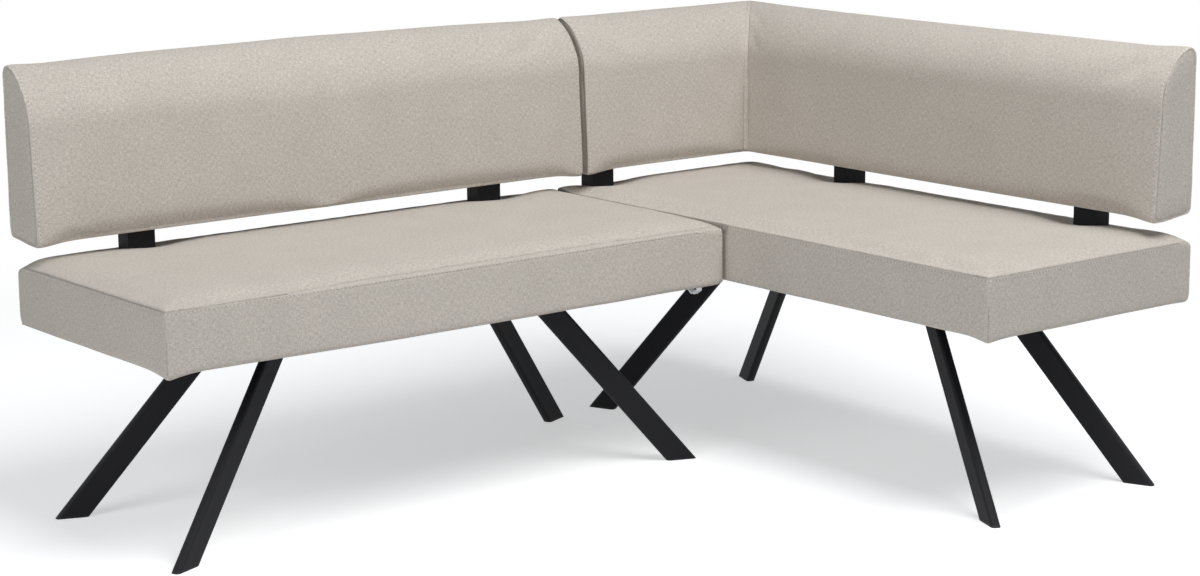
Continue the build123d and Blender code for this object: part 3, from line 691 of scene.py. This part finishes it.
def fill_back(piece, wall, ends, middle, bow=0.0):
    """Fills a back cover, which stays flat against its walls and is held along its seams, bows its top edge
    and lets its lower corners hang a little."""

    def depth(co):
        return min(wall.x - co.x, wall.y - co.y)

    def distance(co, seams):
        return min(abs((co - point).dot(normal)) for point, normal in seams)

    def seam_distance(co):
        return distance(co, ends + [middle])

    def held(co):
        return depth(co) < BACK_FLAT or seam_distance(co) < 0.5 * BACK_FLAT

    def travel(co):
        if depth(co) < BACK_FLAT:
            return 0, 0, 0
        if co.z < BACK_BOTTOM + BACK_FLAT:
            return (BACK_SEAM_SWELL,) * 3
        return (mix(BACK_SEAM_SWELL, BACK_SWELL, smooth_step(seam_distance(co), 0, BACK_SWELL_REACH)),) * 3

    fill_cover(piece, held, travel)
    # Painted seam shade fades out towards the wall
    painted_shades = piece.data.attributes["painted_shade"].data
    for vert in piece.data.vertices:
        painted_shades[vert.index].value *= smooth_step(depth(vert.co), BACK_FLAT, BACK_REAR_FADE)
        foot = 1 - smooth_step(vert.co.z, BACK_BOTTOM, BACK_BOTTOM + BACK_TIP_HEIGHT)
        front = smooth_step(depth(vert.co), 0, BACK_DEPTH_BOTTOM)
        tip = math.exp(-(distance(vert.co, ends) / BACK_TIP_REACH) ** 2)
        rise = bow * smooth_step(distance(vert.co, ends), 0, BACK_BOW_REACH)
        vert.co.z += rise * smooth_step(vert.co.z, BACK_BOTTOM, BACK_TOP) - BACK_TIP_DROP * foot * front * tip
    subdivide_once(piece)
    pucker(piece, seam_distance, lambda co: co.z + depth(co))


def straight_back(stitch):
    """Straight backrest, sewn up the middle and round both ends."""
    low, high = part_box("straight_back_cover")
    wall = Vector((high.x + FAR, high.y, 0))
    middle = (low.x + high.x) / 2

    def station(x, drawn_in):
        return [Vector((x, wall.y - depth, height)) for depth, height in back_outline(drawn_in)]

    stations = [(low.x + inset, drawn_in) for inset, drawn_in in BACK_END]
    stations.append((middle, 0))
    join = high.x + JOIN_REACH
    stations += [(join - inset, drawn_in * JOIN_DRAWN_IN) for inset, drawn_in in reversed(BACK_END)]
    outlines = [station(x, drawn_in) for x, drawn_in in stations]
    piece = draw_out("straight_back", outlines, [outlines[BACK_END_SEAM], outlines[-1 - BACK_END_SEAM]])
    divide_along(piece, 0, BACK_CELL)
    along = Vector((1, 0, 0))
    ends = [(Vector((low.x + END_SEAM_INSET, 0, 0)), along), (Vector((join - END_SEAM_INSET, 0, 0)), along)]
    fill_back(piece, wall, ends, (Vector((middle, 0, 0)), along), bow=BACK_BOW)
    sew_seam(piece, (middle, 0, 0), along, depth=PLAIN_SEAM_DEPTH, shade=PLAIN_SEAM_SHADE)
    stitched = (low.x + END_STITCH_INSET, join - END_STITCH_INSET)
    rows = [(Vector((x, 0, 0)), along, everywhere) for x in stitched]
    stitches = finish_cover(piece, rows, stitch)
    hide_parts("straight_back_cover")
    return piece, stitches


def corner_back(stitch):
    """Corner backrest: two wings in one cover, sewn on the mitre and round both ends."""
    short_low, short_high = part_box("corner_back_cover_short_wing")
    long_low, long_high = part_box("corner_back_cover_long_wing")
    wall = Vector((long_high.x, short_high.y, 0))

    def short_station(x, drawn_in):
        return [Vector((x, wall.y - depth, height)) for depth, height in back_outline(drawn_in)]

    def long_station(y, drawn_in):
        return [Vector((wall.x - depth, y, height)) for depth, height in back_outline(drawn_in)]

    stations = [short_station(short_low.x + inset, drawn_in) for inset, drawn_in in BACK_END]
    stations.append([Vector((wall.x - depth, wall.y - depth, height)) for depth, height in back_outline(0)])
    stations += [long_station(long_low.y + inset, drawn_in) for inset, drawn_in in reversed(BACK_END)]
    piece = draw_out("corner_back", stations, [stations[BACK_END_SEAM], stations[-1 - BACK_END_SEAM]])
    divide_along(piece, 0, BACK_CELL)
    divide_along(piece, 1, BACK_CELL)
    mitre = Vector((1, -1, 0)).normalized()
    short_end = Vector((short_low.x + END_SEAM_INSET, 0, 0))
    long_end = Vector((0, long_low.y + END_SEAM_INSET, 0))
    along_x, along_y = Vector((1, 0, 0)), Vector((0, 1, 0))
    fill_back(piece, wall, [(short_end, along_x), (long_end, along_y)], (wall, mitre))
    for spread in (-MITRE_SEAM_SPREAD, MITRE_SEAM_SPREAD):
        sew_seam(piece, wall + mitre * spread, mitre, shade=PLAIN_SEAM_SHADE)
    rows = [
        (Vector((short_low.x + END_STITCH_INSET, 0, 0)), along_x, everywhere),
        (Vector((0, long_low.y + END_STITCH_INSET, 0)), along_y, everywhere),
    ]
    stitches = finish_cover(piece, rows, stitch)
    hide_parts("corner_back_cover_short_wing", "corner_back_cover_long_wing")
    return piece, stitches


# Materials

def linear(code):
    """Linear colour of an sRGB hex value."""
    shares = [int(code[i:i + 2], 16) / 255 for i in (1, 3, 5)]
    return [s / 12.92 if s <= 0.04045 else ((s + 0.055) / 1.055) ** 2.4 for s in shares] + [1.0]


def add_node(tree, kind, inputs=None, **settings):
    """Adds a node with its settings, and gives each input its value or its link."""
    made = tree.nodes.new(kind)
    for name, value in settings.items():
        setattr(made, name, value)
    for name, value in (inputs or {}).items():
        if isinstance(value, bpy.types.NodeSocket):
            tree.links.new(value, made.inputs[name])
        else:
            made.inputs[name].default_value = value
    return made


def new_material(name):
    """Empty node material and its tree."""
    material = bpy.data.materials.new(name)
    material.use_nodes = True
    material.node_tree.nodes.clear()
    return material, material.node_tree


def woven_fabric():
    """Woven polyester in two beige yarns: matt, a little soft at grazing angles, with a fine grid of threads
    and slubs that run along them. Painted shade darkens it in the creases at the seams and where the seats
    meet."""
    material, tree = new_material("melange_woven_polyester")
    uv = add_node(tree, "ShaderNodeUVMap", uv_map="weave").outputs["UV"]
    threads = add_node(
        tree, "ShaderNodeVectorMath", {0: uv, "Scale": 1 / THREAD_PITCH}, operation="SCALE"
    ).outputs["Vector"]
    axes = add_node(tree, "ShaderNodeSeparateXYZ", {0: threads}).outputs
    waves = []
    for axis in ("X", "Y"):
        angle = add_node(
            tree, "ShaderNodeMath", {0: axes[axis], 1: math.tau}, operation="MULTIPLY"
        ).outputs[0]
        waves.append(add_node(tree, "ShaderNodeMath", {0: angle}, operation="SINE").outputs[0])
    over = add_node(tree, "ShaderNodeMath", {0: waves[0], 1: waves[1]}, operation="MULTIPLY").outputs[0]
    streaks = []
    for stretch in ((1.0, SLUB_STRETCH, 1.0), (SLUB_STRETCH, 1.0, 1.0)):
        along = add_node(tree, "ShaderNodeMapping", {"Vector": threads, "Scale": stretch}).outputs["Vector"]
        streak = add_node(tree, "ShaderNodeTexNoise", {"Vector": along, "Scale": 1.2, "Detail": 3.0})
        streaks.append(streak.outputs["Fac"])
    upper = add_node(
        tree, "ShaderNodeMapRange", {"Value": over, "From Min": -0.3, "From Max": 0.3}
    ).outputs["Result"]
    yarn = add_node(
        tree, "ShaderNodeMix", {"Factor": upper, "A": streaks[0], "B": streaks[1]}, data_type="FLOAT"
    ).outputs["Result"]
    shades = add_node(tree, "ShaderNodeValToRGB", {"Fac": yarn})
    shades.color_ramp.elements[0].position = 0.34
    shades.color_ramp.elements[0].color = linear("#ABA39A")
    shades.color_ramp.elements[1].position = 0.66
    shades.color_ramp.elements[1].color = linear("#D8D1C8")
    place = add_node(tree, "ShaderNodeTexCoord").outputs["Object"]
    cloud = add_node(
        tree, "ShaderNodeTexNoise", {"Vector": place, "Scale": 1 / CLOUD_SIZE, "Detail": 2.0}
    ).outputs["Fac"]
    cloud_value = add_node(tree, "ShaderNodeMapRange", {
        "Value": cloud, "From Min": 0.3, "From Max": 0.7, "To Min": 0.975, "To Max": 1.025,
    }).outputs["Result"]
    # Painted shade: the colour's value falls where the mesh marks creases at seams and at the seats' join
    painted_shade = add_node(tree, "ShaderNodeAttribute", attribute_name="painted_shade").outputs["Fac"]
    painted_shade_value = add_node(
        tree, "ShaderNodeMapRange", {"Value": painted_shade, "To Min": 1.0, "To Max": PAINTED_SHADE_VALUE}
    ).outputs["Result"]
    value = add_node(
        tree, "ShaderNodeMath", {0: cloud_value, 1: painted_shade_value}, operation="MULTIPLY"
    ).outputs[0]
    colour = add_node(
        tree, "ShaderNodeHueSaturation", {"Color": shades.outputs["Color"], "Value": value}
    ).outputs["Color"]
    relief = add_node(
        tree, "ShaderNodeMath", {0: over, 1: 0.5, 2: yarn}, operation="MULTIPLY_ADD"
    ).outputs[0]
    normal = add_node(
        tree, "ShaderNodeBump", {"Height": relief, "Strength": 0.4, "Distance": 0.0005}
    ).outputs["Normal"]
    shader = add_node(tree, "ShaderNodeBsdfPrincipled", {
        "Base Color": colour, "Roughness": 0.88, "IOR": 1.5, "Specular IOR Level": 0.25, "Normal": normal,
        "Sheen Weight": 0.36, "Sheen Roughness": 0.45, "Sheen Tint": linear("#E6DFD6"),
    }).outputs["BSDF"]
    add_node(tree, "ShaderNodeOutputMaterial", {"Surface": shader})
    return material


def rough_solid(name, dark, light, grain, roughness, bump=0.0, metallic=0.0, stretch=(1, 1, 1), specular=0.5):
    """Solid finish with a grain of one size in two close colours, in its roughness and in its relief."""
    material, tree = new_material(name)
    place = add_node(tree, "ShaderNodeTexCoord").outputs["Object"]
    along = add_node(tree, "ShaderNodeMapping", {"Vector": place, "Scale": stretch}).outputs["Vector"]
    grains = add_node(
        tree, "ShaderNodeTexNoise", {"Vector": along, "Scale": 1 / grain, "Detail": 3.0}
    ).outputs["Fac"]
    shades = add_node(tree, "ShaderNodeValToRGB", {"Fac": grains})
    shades.color_ramp.elements[0].position = 0.3
    shades.color_ramp.elements[0].color = linear(dark)
    shades.color_ramp.elements[1].position = 0.7
    shades.color_ramp.elements[1].color = linear(light)
    gloss = add_node(tree, "ShaderNodeMapRange", {
        "Value": grains, "To Min": roughness - GLOSS_SPREAD, "To Max": roughness + GLOSS_SPREAD,
    }).outputs["Result"]
    normal = add_node(
        tree, "ShaderNodeBump", {"Height": grains, "Strength": 0.4, "Distance": bump}
    ).outputs["Normal"]
    shader = add_node(tree, "ShaderNodeBsdfPrincipled", {
        "Base Color": shades.outputs["Color"], "Roughness": gloss, "Metallic": metallic,
        "Specular IOR Level": specular, "Normal": normal,
    }).outputs["BSDF"]
    add_node(tree, "ShaderNodeOutputMaterial", {"Surface": shader})
    return material


def seen_rays(tree):
    """1 for a ray that shows a surface, straight, reflected or passed on, and 0 for a ray of light."""
    path = add_node(tree, "ShaderNodeLightPath").outputs
    seen = path["Is Camera Ray"]
    for kind in ("Is Glossy Ray", "Is Transmission Ray"):
        seen = add_node(tree, "ShaderNodeMath", {0: seen, 1: path[kind]}, operation="MAXIMUM").outputs[0]
    return seen


def pale_floor():
    """Matt white studio floor that fades into the white background and keeps the bench's shadow."""
    material, tree = new_material("studio_floor")
    seen = seen_rays(tree)
    place = add_node(tree, "ShaderNodeTexCoord").outputs["Object"]
    reach = add_node(tree, "ShaderNodeVectorMath", {0: place}, operation="LENGTH").outputs["Value"]
    far = add_node(
        tree, "ShaderNodeMapRange", {"Value": reach, "From Min": FLOOR_NEAR, "From Max": FLOOR_FAR},
        interpolation_type="SMOOTHSTEP"
    ).outputs["Result"]
    lift = add_node(tree, "ShaderNodeMath", {0: seen, 1: FLOOR_LIFT}, operation="MULTIPLY").outputs[0]
    matt = add_node(tree, "ShaderNodeBsdfDiffuse", {"Color": linear("#F2F2F2")}).outputs["BSDF"]
    glow = add_node(tree, "ShaderNodeEmission", {"Strength": lift}).outputs["Emission"]
    lit = add_node(tree, "ShaderNodeAddShader", {0: matt, 1: glow}).outputs["Shader"]
    white = add_node(tree, "ShaderNodeEmission", {"Strength": 1.0}).outputs["Emission"]
    fade = add_node(tree, "ShaderNodeMath", {0: far, 1: seen}, operation="MULTIPLY").outputs[0]
    surface = add_node(tree, "ShaderNodeMixShader", {0: fade, 1: lit, 2: white}).outputs["Shader"]
    add_node(tree, "ShaderNodeOutputMaterial", {"Surface": surface})
    return material


# Build

posts_straight = []
posts_corner = []
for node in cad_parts:
    if "_back_post_" in node:
        low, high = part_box(node)
        place = (low + high) / 2
        place[0 if high.x - low.x > high.y - low.y else 1] += POST_DIP_SHIFT
        (posts_straight if node.startswith("straight") else posts_corner).append(place.xy)

straight_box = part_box("straight_seat_cover")
stitch = stitch_shape()
covers = [
    sewn_seat("straight_seat", "straight_seat_cover", STRAIGHT_SEAT, posts_straight, stitch),
    sewn_seat("corner_seat", "corner_seat_cover", CORNER_SEAT, posts_corner, stitch),
    straight_back(stitch),
    corner_back(stitch),
]
# Painted shade on the corner seat's edge, where it meets the straight seat
shade_join(covers[1][0], *straight_box)

fabric = woven_fabric()
thread = rough_solid("spun_polyester_thread", "#D2CBC1", "#E6E0D8", 0.002, 0.7, bump=0.0002)
for piece, stitches in covers:
    piece.data.materials.append(fabric)
    stitches.data.materials.append(thread)
    for part in (piece, stitches):
        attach(part, "root")

powder_coat = rough_solid("black_powder_coat_on_steel", "#0D0D11", "#151519", 0.0016, 0.62, bump=0.00008,
                          specular=0.23)
plastic = rough_solid("moulded_black_polyethylene", "#0C0C0E", "#141416", 0.0012, 0.55, bump=0.00006,
                      specular=0.3)
zinc = rough_solid("zinc_plated_steel", "#B4B7BA", "#D6D8DA", 0.003, 0.32, bump=0.00003, metallic=1.0)
timber = rough_solid("planed_pine", "#C79F6B", "#DDBB88", 0.012, 0.6, bump=0.0002, stretch=(0.12, 1, 1))
plywood = rough_solid("birch_plywood", "#CDB084", "#E0C79D", 0.010, 0.6, bump=0.0002, stretch=(0.2, 1, 1))
foam = rough_solid("polyurethane_foam", "#D9C98F", "#E6D9A8", 0.002, 0.9, bump=0.0004)
dust_cloth = rough_solid("black_spunbond_cloth", "#1B1B1D", "#2A2A2D", 0.0025, 0.9, bump=0.0002)

finishes = [
    ("_leg_board", timber), ("_rail", timber), ("_deck", plywood), ("_frame", plywood), ("_foam", foam),
    ("_dust_cloth", dust_cloth), ("_bolts", zinc), ("_screws", zinc), ("connector_", zinc),
    ("_foot_cap", plastic), ("_post_", powder_coat), ("_leg_", powder_coat), ("_cover", fabric),
]
for name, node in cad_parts.items():
    finish = next(finish for words, finish in finishes if words in name)
    node.data.materials.clear()
    node.data.materials.append(finish)

# Studio

bpy.ops.object.select_all(action="DESELECT")
bpy.ops.mesh.primitive_circle_add(vertices=FLOOR_SIDES, radius=FLOOR_RADIUS, fill_type="NGON")
floor = bpy.context.object
floor.name = "studio_floor"
floor.data.materials.append(pale_floor())

scene = bpy.context.scene
scene.view_settings.view_transform = "Standard"
world = bpy.data.worlds.new("studio_air")
scene.world = world
world.use_nodes = True
air = world.node_tree
air.nodes.clear()
seen = seen_rays(air)
level = add_node(
    air, "ShaderNodeMapRange", {"Value": seen, "To Min": AIR_LIGHT, "To Max": 1.0}
).outputs["Result"]
colour = add_node(
    air, "ShaderNodeMix", {"Factor": seen, "A": linear(AIR_COLOUR), "B": linear("#FFFFFF")}, data_type="RGBA"
).outputs["Result"]
sky = add_node(air, "ShaderNodeBackground", {"Color": colour, "Strength": level}).outputs["Background"]
add_node(air, "ShaderNodeOutputWorld", {"Surface": sky})

for name, place, aim, size, power in STUDIO_LAMPS:
    light = bpy.data.lights.new(name, "AREA")
    light.shape = "RECTANGLE"
    light.size, light.size_y = size
    light.energy = power
    lamp = bpy.data.objects.new(name, light)
    lamp.location = place
    lamp.rotation_euler = (Vector(aim) - Vector(place)).to_track_quat("-Z", "Y").to_euler()
    scene.collection.objects.link(lamp)

camera = bpy.data.objects.new("photo_view", bpy.data.cameras.new("photo_view"))
camera.data.sensor_width = SENSOR_WIDTH
camera.data.lens = VIEW_FOCAL_PIXELS / IMAGE_WIDTH * SENSOR_WIDTH
heading = Matrix.Rotation(VIEW_HEADING - math.pi / 2, 4, "Z")
tilt = Matrix.Rotation(math.pi / 2 - VIEW_DOWN, 4, "X")
roll = Matrix.Rotation(-VIEW_ROLL, 4, "Z")
camera.matrix_world = Matrix.Translation(VIEW_PLACE) @ heading @ tilt @ roll
scene.collection.objects.link(camera)
scene.camera = camera
